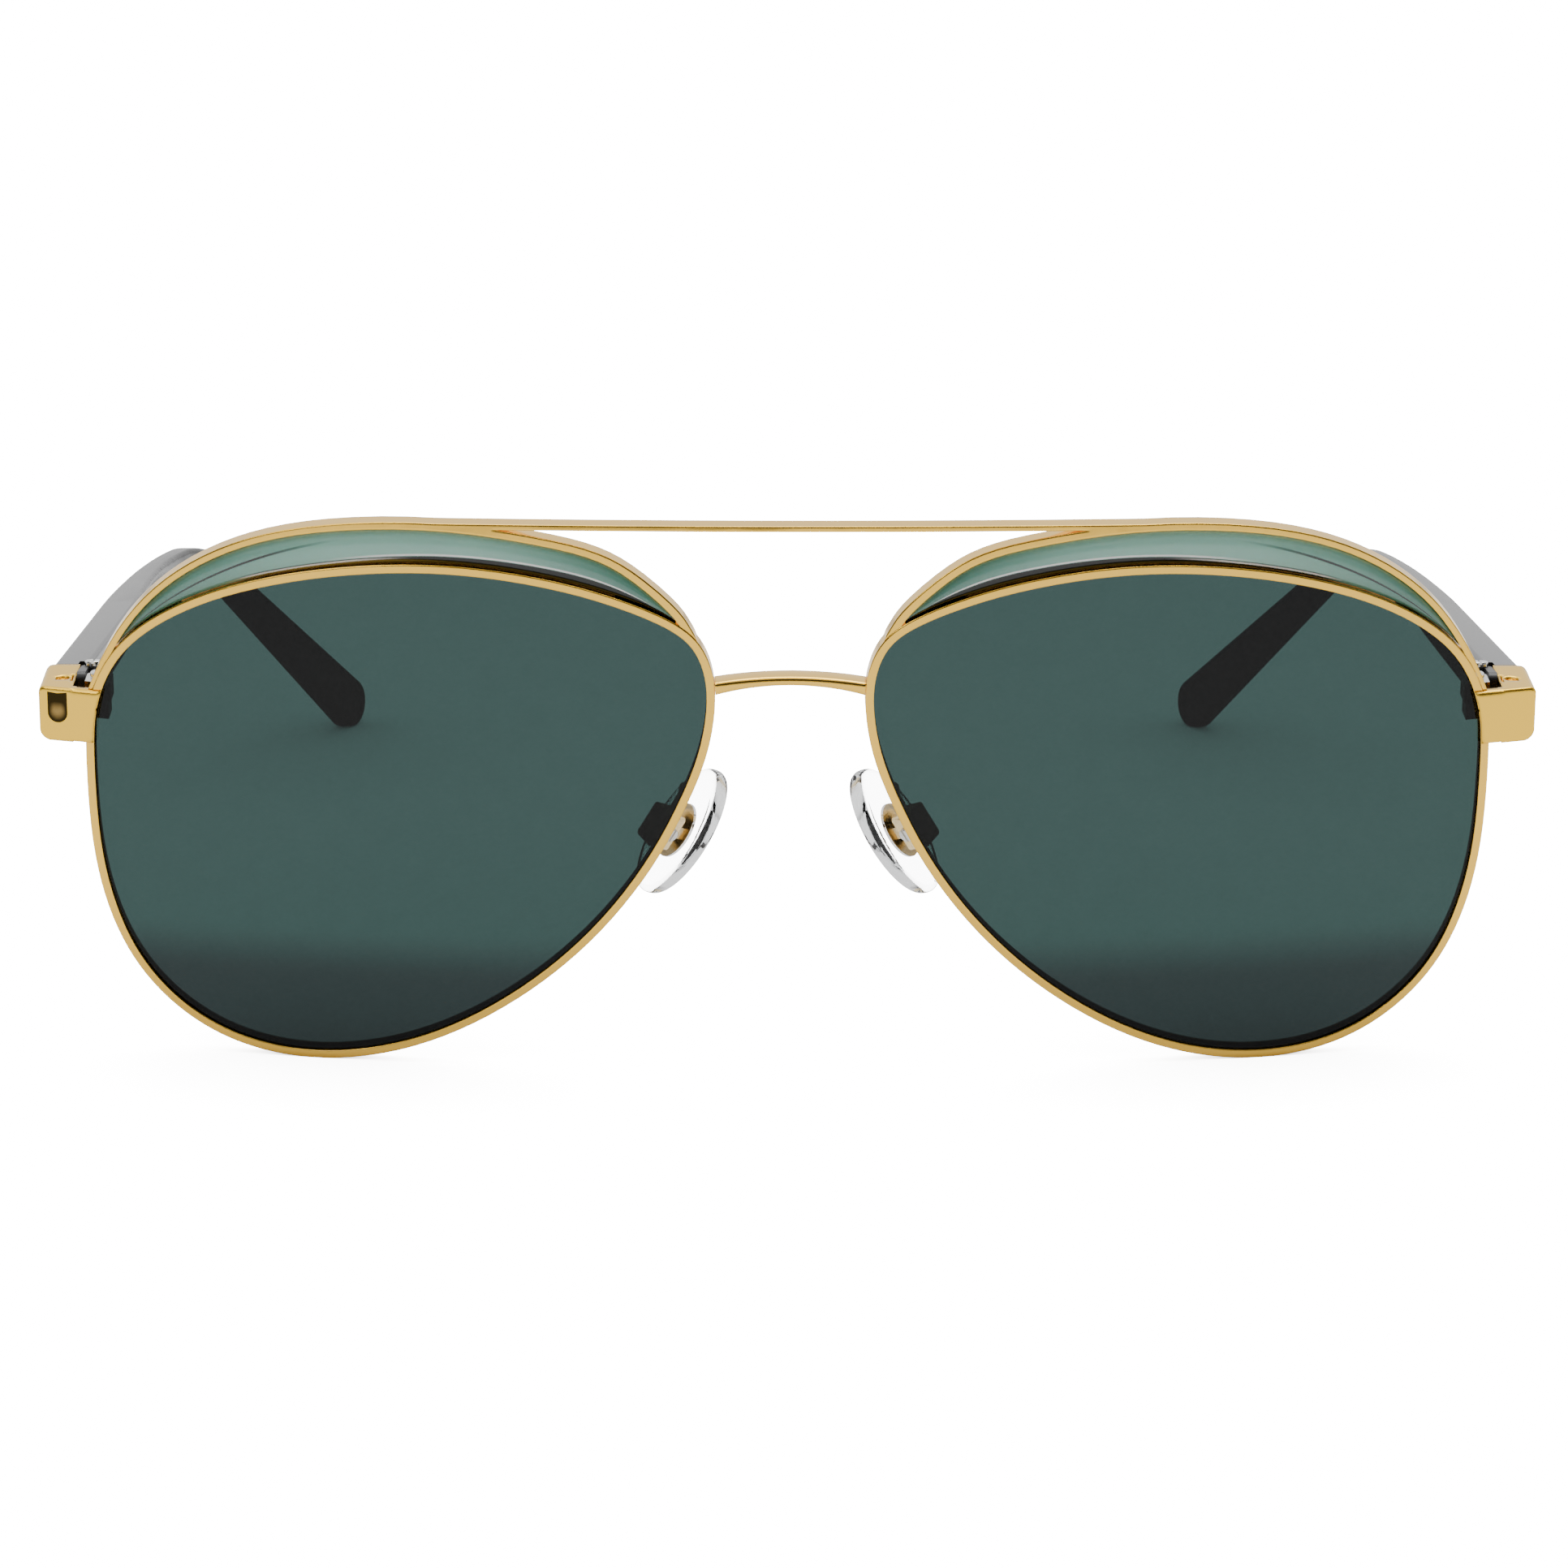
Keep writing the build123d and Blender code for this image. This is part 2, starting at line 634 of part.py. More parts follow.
def make_core(extra=0.0):
    """Flat wire inside the temple, or the channel for it where extra is its clearance."""
    half = core_height / 2 + extra
    across = core_thickness / 2 + extra
    end = core_end((tip_reach, -tip_drop))
    wire = side_profile(half, ear_middle + half, ear_middle - half, half, end)
    middles = (temple_thickness / 2, ear_thickness / 2)
    wire &= plan_profile([m - across for m in middles], [m + across for m in middles])
    start = hinge_back_leaf + solder_gap - extra
    return wire - box_between(
        (-reach_through, -reach_through, -reach_through), (reach_through, start, reach_through),
    )


def make_temple(keep_out):
    """Temple in one piece, with a channel for its wire and seats for the hinge."""
    inner = ear_outer - ear_height
    body = side_profile(temple_height / 2, ear_outer, inner, tip_radius, (tip_reach, -tip_drop))
    body &= plan_profile((0, 0), (temple_thickness, ear_thickness))
    long_edges = body.edges().filter_by(
        lambda e: e.center().Y > 0 and (e.geom_type != GeomType.LINE or e.length > temple_height)
    )
    body = fillet(long_edges, temple_edge)
    body -= keep_out
    body -= Cylinder(knuckle_radius + knuckle_room, reach_through)
    outer = leaf_inner + hinge_leaf
    room = box_between(
        (-temple_thickness, -temple_stock, -hinge_top - head_room),
        (outer + head_room, room_depth, hinge_top + hinge_head_height + head_room),
    )
    half = leaf_half + hinge_seat
    seat = box_between(
        (leaf_inner - temple_thickness, 0, -half),
        (outer + hinge_seat, hinge_back_leaf + solder_gap, half),
    )
    return body - room - seat - make_core(core_clearance)


# ---- placing -------------------------------------------------------------------------

def tip_slope(height):
    """Degrees that the temples fall towards their tips, with the hinge at a height."""
    arm, start = hypot(tip_reach, tip_drop), atan2(tip_drop, tip_reach)
    return degrees(asin((height - tip_radius) / arm) - start)


lean = Rot(front_lean, 0, 0)
rim_upright = make_rim()
lift = -(lean * rim_upright).bounding_box().min.Z
FRONT = Pos(0, 0, lift) * lean
HINGE = (FRONT * Pos(hinge_x, BLOCK_BACK + hinge_back, hinge_level)).position
slope = tip_slope(HINGE.Z)
TEMPLE = Pos(*HINGE) * Rot(-slope, 0, 0)

block_space = FRONT * box_between(
    (-reach_through, -reach_through, -reach_through),
    (2 * endpiece_outer, BLOCK_BACK + temple_gap, 2 * reach_through),
)

left_pieces = {
    "rim": FRONT * rim_upright,
    "lens": FRONT * make_lens(),
    "brow_insert": FRONT * make_insert(),
    "endpiece": FRONT * make_endpiece(),
    "endpiece_screw": FRONT * make_fixing_screw(),
    "rim_lock_upper": FRONT * make_lock(True),
    "rim_lock_lower": FRONT * make_lock(False),
    "rim_lock_screw": FRONT * make_lock_screw(),
    "pad_arm": FRONT * make_pad_arm(),
    "pad_box": FRONT * PAD_PLACE * make_pad_box(),
    "pad_screw": FRONT * PAD_PLACE * make_pad_screw(),
    "pad_core": FRONT * PAD_PLACE * make_pad_core(),
    "nose_pad": FRONT * PAD_PLACE * make_pad(),
    "front_hinge": TEMPLE * make_front_hinge(),
    "hinge_screw": TEMPLE * make_hinge_screw(),
    "temple_hinge": TEMPLE * make_temple_hinge(),
    "temple_core": TEMPLE * make_core(),
    "temple": TEMPLE * make_temple(TEMPLE.inverse() * block_space),
}
pieces = {
    "brow_bar": FRONT * make_brow_bar(),
    "bridge": FRONT * make_bridge(),
}
for name, shape in left_pieces.items():
    pieces["left_" + name] = shape
    pieces["right_" + name] = mirror(shape, about=Plane.YZ)

boxes = [shape.bounding_box() for shape in pieces.values()]
first = min(box.min.Y for box in boxes)
last = max(box.max.Y for box in boxes)
CENTRE = Pos(0, -(first + last) / 2, 0)

os.makedirs("parts", exist_ok=True)
for name, shape in pieces.items():
    export_step(CENTRE * shape, f"parts/{name}.step")

pad_pivot = CENTRE * FRONT * PAD_PLACE * Pos(screw_out, 0, 0)
for label, place in (("hinge", CENTRE * TEMPLE), ("pad", pad_pivot)):
    print(label, [round(v, 4) for v in place.position], [round(v, 4) for v in place.orientation])
print("shift", round(CENTRE.position.Y, 4), "lift", round(lift, 4))
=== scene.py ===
"""Aviator sunglasses, open on a pale table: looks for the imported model."""

import logging
import math
from dataclasses import dataclass, field
from enum import Enum

import bmesh
import bpy
from mathutils import Euler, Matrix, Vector


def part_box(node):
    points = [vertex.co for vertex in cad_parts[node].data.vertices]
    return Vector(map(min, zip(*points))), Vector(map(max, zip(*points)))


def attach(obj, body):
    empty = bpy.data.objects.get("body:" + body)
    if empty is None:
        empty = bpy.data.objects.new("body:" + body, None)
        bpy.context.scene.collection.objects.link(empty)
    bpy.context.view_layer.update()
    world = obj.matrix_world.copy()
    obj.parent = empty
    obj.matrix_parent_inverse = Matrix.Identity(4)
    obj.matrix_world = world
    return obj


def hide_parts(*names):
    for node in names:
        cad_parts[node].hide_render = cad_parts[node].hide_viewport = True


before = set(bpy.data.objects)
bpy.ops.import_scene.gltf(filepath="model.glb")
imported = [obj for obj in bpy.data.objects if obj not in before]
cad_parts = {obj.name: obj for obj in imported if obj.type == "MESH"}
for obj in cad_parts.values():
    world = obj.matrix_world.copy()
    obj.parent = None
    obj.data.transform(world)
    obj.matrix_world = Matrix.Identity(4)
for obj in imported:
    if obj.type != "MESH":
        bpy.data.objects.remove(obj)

MM = 0.001
SAME_PLACE = 0.001 * MM
SMOOTH_ANGLE = math.radians(38)
SHARP_ANGLE = math.radians(50)
POLISH_GRAIN = 900.0
FINE_GRAIN = 6000.0
GRAIN_STRENGTH = 0.02
GRAIN_DEPTH = 0.02 * MM
Colour = tuple[float, float, float]
Place = tuple[float, float, float]
Step = tuple[float, float]
Line = tuple[Step, Step]
log = logging.getLogger("sunglasses")


class Side(Enum):
    """The wearer's two sides."""

    LEFT = "left"
    RIGHT = "right"

    def node(self, piece: str) -> str:
        """Name of a CAD node on this side.

        Args:
            piece: the node's name without its side.

        Returns:
            The node's full name.
        """
        return f"{self.value}_{piece}"


class Shader:
    """A node tree that is built one node at a time."""

    def __init__(self, tree: bpy.types.NodeTree, output: str) -> None:
        """Empties the tree and adds its output node.

        Args:
            tree: the material's or world's node tree.
            output: the output node's type.
        """
        self.tree = tree
        self.tree.nodes.clear()
        self.output = tree.nodes.new(output)

    @classmethod
    def for_material(cls, name: str) -> "Shader":
        """Starts a new material.

        Args:
            name: the material's name.

        Returns:
            The shader of an empty material.
        """
        material = bpy.data.materials.new(name)
        material.use_nodes = True
        shader = cls(material.node_tree, "ShaderNodeOutputMaterial")
        shader.material = material
        return shader

    def add(self, kind: str, settings: dict | None = None, **inputs: object) -> bpy.types.Node:
        """Adds a node.

        Args:
            kind: the node's type without its "ShaderNode" prefix.
            settings: properties of the node, by name.
            inputs: values or output sockets for its inputs, by name with _ for each space.

        Returns:
            The new node.
        """
        node = self.tree.nodes.new("ShaderNode" + kind)
        for name, value in (settings or {}).items():
            setattr(node, name, value)
        for name, value in inputs.items():
            socket = node.inputs[name.replace("_", " ")]
            if isinstance(value, bpy.types.NodeSocket):
                self.tree.links.new(value, socket)
            elif isinstance(value, tuple) and len(value) == 3 and len(socket.default_value) == 4:
                socket.default_value = (*value, 1.0)
            else:
                socket.default_value = value
        return node

    def math(self, operation: str, first: object, second: object) -> bpy.types.NodeSocket:
        """Adds a sum, a product or the like of two values.

        Args:
            operation: the Math node's operation.
            first: a value or an output socket.
            second: a value or an output socket.

        Returns:
            The result's socket.
        """
        node = self.tree.nodes.new("ShaderNodeMath")
        node.operation = operation
        for socket, value in zip(node.inputs, (first, second)):
            if isinstance(value, bpy.types.NodeSocket):
                self.tree.links.new(value, socket)
            else:
                socket.default_value = value
        return node.outputs[0]

    def product(self, *values: object) -> bpy.types.NodeSocket:
        """Multiplies values.

        Args:
            values: values or output sockets.

        Returns:
            The product's socket.
        """
        result = values[0]
        for value in values[1:]:
            result = self.math("MULTIPLY", result, value)
        return result

    def ramp(self, value: bpy.types.NodeSocket, low: float, high: float) -> bpy.types.NodeSocket:
        """Turns a range of values into a smooth step from 0 to 1.

        Args:
            value: the socket with the value.
            low: where the step starts.
            high: where the step ends.

        Returns:
            The step's socket.
        """
        settings = {"interpolation_type": "SMOOTHSTEP"}
        step = self.add("MapRange", settings, Value=value, From_Min=low, From_Max=high)
        return step.outputs["Result"]

    def blend(self, share: object, first: object, second: object) -> bpy.types.NodeSocket:
        """Mixes two colours.

        Args:
            share: how much of the second colour, a value or a socket.
            first: a colour or a socket.
            second: a colour or a socket.

        Returns:
            The mixed colour's socket.
        """
        node = self.tree.nodes.new("ShaderNodeMix")
        node.data_type = "RGBA"
        sockets = (node.inputs[0], node.inputs[6], node.inputs[7])
        for socket, value in zip(sockets, (share, first, second)):
            if isinstance(value, bpy.types.NodeSocket):
                self.tree.links.new(value, socket)
            elif isinstance(value, tuple):
                socket.default_value = (*value, 1.0)
            else:
                socket.default_value = value
        return node.outputs[2]

    def noise(self, scale: float, detail: float = 3.0) -> bpy.types.NodeSocket:
        """Adds a noise over the object's own coordinates.

        Args:
            scale: how fine the noise is, per metre.
            detail: how many octaves it has.

        Returns:
            The noise value's socket.
        """
        place = self.add("TexCoord").outputs["Object"]
        return self.add("TexNoise", Vector=place, Scale=scale, Detail=detail).outputs[0]

    def finish(self, surface: bpy.types.NodeSocket) -> bpy.types.Material:
        """Joins the surface to the output.

        Args:
            surface: the shader's socket.

        Returns:
            The finished material.
        """
        self.tree.links.new(surface, self.output.inputs["Surface"])
        return self.material


@dataclass(frozen=True)
class Metal:
    """Polished or turned metal with a slightly uneven polish.

    Args:
        name: the material's name.
        colour: its colour, linear.
        roughness: its mean roughness.
        uneven: how far the roughness varies.
        metallic: 1 for bare metal, 0 for lacquer.
        rounding: how far its edges look rounded, in metres.
    """

    name: str
    colour: Colour
    roughness: float
    uneven: float = 0.04
    metallic: float = 1.0
    rounding: float = 0.06 * MM

    def build(self) -> bpy.types.Material:
        """Makes the material.

        Returns:
            The material.
        """
        shader = Shader.for_material(self.name)
        polish = shader.noise(POLISH_GRAIN)
        low, high = self.roughness - self.uneven, self.roughness + self.uneven
        rough = shader.add("MapRange", Value=polish, To_Min=low, To_Max=high)
        edges = shader.add("Bevel", {"samples": 8}, Radius=self.rounding).outputs[0]
        bump = shader.add(
            "Bump",
            Strength=GRAIN_STRENGTH,
            Distance=GRAIN_DEPTH,
            Height=shader.noise(FINE_GRAIN),
            Normal=edges,
        )
        surface = shader.add(
            "BsdfPrincipled",
            Base_Color=self.colour,
            Metallic=self.metallic,
            Roughness=rough.outputs["Result"],
            Normal=bump.outputs["Normal"],
        )
        return shader.finish(surface.outputs["BSDF"])


@dataclass(frozen=True)
class TintedGlass:
    """See-through tinted lens with a faint reflection and painted shade that darkens its lower
    part.

    Args:
        name: the material's name.
        tint: light that one face lets through, at the top.
        painted_shade_tint: the same at the bottom of the lens, darker there as painted shade.
        fade: heights between which the tint changes to the painted shade, in metres.
        reflection: share of light that a face reflects.
        shadow: how much lighter the lens's own shadow is, from 0 to 1.
        cloud: how far the tint varies from place to place.
        grain: how fine that variation is, per metre.
        roughness: roughness of the reflection.
    """

    name: str
    tint: Colour
    painted_shade_tint: Colour
    fade: Step
    reflection: float
    shadow: float
    cloud: float = 0.06
    grain: float = 400.0
    roughness: float = 0.06

    def build(self) -> bpy.types.Material:
        """Makes the material.

        Returns:
            The material.
        """
        shader = Shader.for_material(self.name)
        height = shader.add("SeparateXYZ", Vector=shader.add("NewGeometry").outputs["Position"])
        # Painted shade: the tint turns darker towards the bottom of the lens.
        share = shader.ramp(height.outputs["Z"], *self.fade)
        tint = shader.blend(share, self.painted_shade_tint, self.tint)
        cloud = shader.math("MULTIPLY", shader.noise(self.grain), self.cloud)
        tint = shader.blend(cloud, tint, (0.0, 0.0, 0.0))
        ray = shader.add("LightPath").outputs["Is Shadow Ray"]
        lighter = shader.math("MULTIPLY", ray, self.shadow)
        through = shader.add("BsdfTransparent", Color=shader.blend(lighter, tint, (1.0, 1.0, 1.0)))
        gloss = shader.add("BsdfGlossy", Color=(1.0, 1.0, 1.0), Roughness=self.roughness)
        mix = shader.add("MixShader", Fac=self.reflection)
        shader.tree.links.new(through.outputs[0], mix.inputs[1])
        shader.tree.links.new(gloss.outputs[0], mix.inputs[2])
        return shader.finish(mix.outputs[0])


@dataclass(frozen=True)
class Plastic:
    """Glossy plastic, cloudy or clear in its depth.

    Args:
        name: the material's name.
        colour: its colour, linear.
        second: the colour that it is clouded with.
        roughness: its roughness.
        depth: share of light that goes into it and comes out again.
        coat: strength of its clear coat.
        shine: strength of its own reflection.
        grain: how fine the clouds are, per metre.
    """

    name: str
    colour: Colour
    second: Colour
    roughness: float
    depth: float = 0.0
    coat: float = 0.0
    shine: float = 0.5
    grain: float = 120.0

    def build(self) -> bpy.types.Material:
        """Makes the material.

        Returns:
            The material.
        """
        shader = Shader.for_material(self.name)
        colour = shader.blend(shader.noise(self.grain, 2.0), self.colour, self.second)
        surface = shader.add(
            "BsdfPrincipled",
            Base_Color=colour,
            Roughness=self.roughness,
            Subsurface_Weight=self.depth,
            Subsurface_Scale=1.5 * MM,
            Specular_IOR_Level=self.shine,
            Coat_Weight=self.coat,
            Coat_Roughness=0.03,
        )
        return shader.finish(surface.outputs["BSDF"])


@dataclass(frozen=True)
class ClearSoft:
    """Clear soft plastic that bends the light.

    Args:
        name: the material's name.
        colour: its colour, linear.
        haze: the colour that it is faintly clouded with.
        roughness: its roughness.
        bending: its index of refraction.
        grain: how fine the haze is, per metre.
    """

    name: str
    colour: Colour
    haze: Colour
    roughness: float
    bending: float
    grain: float = 500.0

    def build(self) -> bpy.types.Material:
        """Makes the material.

        Returns:
            The material.
        """
        shader = Shader.for_material(self.name)
        colour = shader.blend(shader.noise(self.grain), self.colour, self.haze)
        clear = shader.add("BsdfGlass", Color=colour, Roughness=self.roughness, IOR=self.bending)
        return shader.finish(clear.outputs[0])


def dress(node: str, material: bpy.types.Material) -> None:
    """Gives a CAD node its finish, with smooth faces that meet in clean edges.

    Args:
        node: the CAD node's name.
        material: its material.
    """
    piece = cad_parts[node]
    piece.data.materials.clear()
    piece.data.materials.append(material)
    piece.data.polygons.foreach_set("use_smooth", [True] * len(piece.data.polygons))
    weld = piece.modifiers.new("weld", "WELD")
    weld.merge_threshold = SAME_PLACE
    split = piece.modifiers.new("edges", "EDGE_SPLIT")
    split.split_angle = SMOOTH_ANGLE


def add_piece(
    name: str,
    points: list[Vector],
    faces: list[tuple[int, ...]],
    shares: list[tuple[float, float]],
    material: bpy.types.Material,
) -> bpy.types.Object:
    """Adds a closed, smooth piece that rides on the front.

    Args:
        name: the piece's name.
        points: its corners.
        faces: corner numbers of each face.
        shares: place of each corner on the finish's pattern.
        material: its material.

    Returns:
        The new piece.
    """
    mesh = bpy.data.meshes.new(name)
    mesh.from_pydata(points, [], faces)
    form = bmesh.new()
    form.from_mesh(mesh)
    bmesh.ops.recalc_face_normals(form, faces=form.faces)
    form.to_mesh(mesh)
    form.free()
    layer = mesh.uv_layers.new(name="shares")
    for loop in mesh.loops:
        layer.data[loop.index].uv = shares[loop.vertex_index]
    mesh.polygons.foreach_set("use_smooth", [True] * len(mesh.polygons))
    mesh.set_sharp_from_angle(angle=SHARP_ANGLE)
    mesh.materials.append(material)
    piece = bpy.data.objects.new(name, mesh)
    bpy.context.scene.collection.objects.link(piece)
    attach(piece, "front")
    return piece


@dataclass
class Front:
    """Rims, brow, bridge and endpieces, all in polished gold.

    Args:
        wire: finish of the rims, brow and bridge.
        block: finish of the endpieces.
    """

    wire: Metal = Metal("pale_gold", (0.92, 0.56, 0.085), 0.11, rounding=0.24 * MM)
    block: Metal = Metal("block_gold", (0.91, 0.56, 0.06), 0.11, rounding=0.6 * MM)

    def build(self) -> None:
        """Dresses the gold pieces of the front."""
        wire, block = self.wire.build(), self.block.build()
        for node in ("brow_bar", "bridge"):
            dress(node, wire)
        for side in Side:
            dress(side.node("rim"), wire)
            dress(side.node("endpiece"), block)
        log.info("front dressed")


@dataclass(frozen=True)
class ShadePatchFinish:
    """Painted shade of a polished hollow, laid on a flat patch: darkest at its top and edges.

    Args:
        name: the material's name.
        dark: colour of the painted shade at the edges.
        warm: colour in the middle.
        inside: shares from the edge inward over which it turns warm.
        lower: shares from the top down over which it turns warm.
        cloud: how far the colour varies from place to place.
        grain: how fine that variation is, per metre.
        roughness: its roughness.
    """

    name: str
    dark: Colour
    warm: Colour
    inside: Step = (0.98, 0.25)
    lower: Step = (0.75, 0.35)
    cloud: float = 0.15
    grain: float = 1500.0
    roughness: float = 0.3

    def build(self) -> bpy.types.Material:
        """Makes the material.

        Returns:
            The material.
        """
        shader = Shader.for_material(self.name)
        place = shader.add("SeparateXYZ", Vector=shader.add("UVMap").outputs[0])
        # Painted shade: darkest at the edges and the top, warmer in the middle.
        inside = shader.ramp(place.outputs["X"], *self.inside)
        lower = shader.ramp(place.outputs["Y"], *self.lower)
        cloud = shader.math("MULTIPLY", shader.noise(self.grain), self.cloud)
        share = shader.math("SUBTRACT", shader.product(inside, lower), cloud)
        surface = shader.add(
            "BsdfPrincipled",
            Base_Color=shader.blend(share, self.dark, self.warm),
            Metallic=1.0,
            Roughness=self.roughness,
        )
        return shader.finish(surface.outputs["BSDF"])


@dataclass
class EndpieceShadePatch:
    """Flat U-shaped patch on the front of one endpiece, painted with the dark shade of a hollow.

    Args:
        side: the endpiece's side.
        finish: its finish.
        width: its width, in metres.
        height: its height.
        inset: its middle from the endpiece's outer side.
        drop: its top below the endpiece's top.
        proud: how far it stands in front of the endpiece.
        thickness: its thickness, most of it in the endpiece.
        dent: how far its upper edge sags, as a share of half its width.
        run_up: how far in front of the endpiece a ray starts.
        steps: points round its lower half.
        rings: rings from its middle to its edge.
    """

    side: Side = Side.RIGHT
    # Painted shade: a dark colour at the edges and a warmer one in the middle.
    finish: ShadePatchFinish = ShadePatchFinish("painted_shade_gold", (0.03, 0.02, 0.006), (0.34, 0.22, 0.07))
    width: float = 1.9 * MM
    height: float = 3.0 * MM
    inset: float = 1.8 * MM
    drop: float = 1.05 * MM
    proud: float = 0.015 * MM
    thickness: float = 0.1 * MM
    dent: float = 0.12
    run_up: float = 1.0 * MM
    steps: int = 24
    rings: int = 6

    def build(self) -> None:
        """Adds the painted shade patch to its endpiece."""
        # The dimple is a flat patch with painted shade, not a hollow cut into the endpiece.
        self._lay_shade_patch(self.side, self.finish.build())
        log.info("endpiece dimple built")

    def _outline(self) -> list[tuple[float, float]]:
        """Draws the U about its own middle.

        Returns:
            Points across and up, in metres.
        """
        half, top = self.width / 2, self.height / 2
        bend = -top + half
        points = [(half, top), (half, (top + bend) / 2)]
        for i in range(self.steps + 1):
            angle = -math.pi * i / self.steps
            points.append((half * math.cos(angle), bend + half * math.sin(angle)))
        points += [(-half, (top + bend) / 2), (-half, top), (0.0, top - half * self.dent)]
        return points

    def _lay_shade_patch(self, side: Side, material: bpy.types.Material) -> None:
        """Lays one painted shade patch on its endpiece.

        Args:
            side: which side it is on.
            material: its finish.
        """
        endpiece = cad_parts[side.node("endpiece")]
        low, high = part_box(side.node("endpiece"))
        outward = 1.0 if side is Side.LEFT else -1.0
        edge = high.x if side is Side.LEFT else low.x
        level = high.z - self.drop - self.height / 2
        middle = Vector((edge - outward * self.inset, 0.0, level))
        outline = self._outline()
        front, shares = [self._touch(endpiece, middle, low.y)], [(0.0, 0.5)]
        for ring in range(1, self.rings + 1):
            share = ring / self.rings
            for across, up in outline:
                place = middle + Vector((outward * across * share, 0.0, up * share))
                front.append(self._touch(endpiece, place, low.y))
                shares.append((share, 0.5 + up * share / self.height))
        back = [point + Vector((0.0, self.thickness, 0.0)) for point in front]
        faces = self._faces(len(outline), len(front))
        name = side.node("endpiece_painted_shade")
        add_piece(name, front + back, faces, shares * 2, material)

    def _touch(self, endpiece: bpy.types.Object, place: Vector, front: float) -> Vector:
        """Finds a place on the endpiece's front.

        Args:
            endpiece: the CAD endpiece.
            place: the place across and up.
            front: the endpiece's foremost depth.

        Returns:
            The place, just in front of the endpiece.
        """
        start = Vector((place.x, front - self.run_up, place.z))
        hit, point, _, _ = endpiece.ray_cast(start, Vector((0.0, 1.0, 0.0)))
        return Vector((place.x, (point.y if hit else front) - self.proud, place.z))

    def _faces(self, count: int, total: int) -> list[tuple[int, ...]]:
        """Lists the faces of the front, the back and the side between them.

        Args:
            count: points in one ring.
            total: points on the front.

        Returns:
            The corner numbers of each face.
        """
        faces = []
        for i in range(count):
            a, b = 1 + i, 1 + (i + 1) % count
            faces.append((0, a, b))
            faces.append((total, total + b, total + a))
            for ring in range(self.rings - 1):
                c, d = a + ring * count, b + ring * count
                faces.append((c, c + count, d + count, d))
                faces.append((total + c, total + d, total + d + count, total + c + count))
            c, d = a + (self.rings - 1) * count, b + (self.rings - 1) * count
            faces.append((c, total + c, total + d, d))
        return faces


@dataclass
class Lenses:
    """Two tinted lenses.

    Args:
        tint: light that one face lets through at the top.
        painted_shade_tint: the same at the bottom, darker there as painted shade.
        fade: shares of the lens's height between which the tint changes to the painted shade.
        reflection: share of light that a face reflects.
        shadow: how much lighter the lens's own shadow is.
    """

    tint: Colour = (0.0513, 0.0745, 0.0715)
    # Painted shade: the darker tint at the bottom of the lens.
    painted_shade_tint: Colour = (0.0408, 0.0514, 0.0514)
    fade: Step = (0.15, 0.27)
    reflection: float = 0.015
    shadow: float = 0.75

    def build(self) -> None:
        """Dresses the lenses."""
        low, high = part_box(Side.LEFT.node("lens"))
        heights = tuple(low.z + (high.z - low.z) * share for share in self.fade)
        glass = TintedGlass(
            "lens_tint", self.tint, self.painted_shade_tint, heights, self.reflection, self.shadow
        )
        material = glass.build()
        for side in Side:
            dress(side.node("lens"), material)
        log.info("lenses dressed")


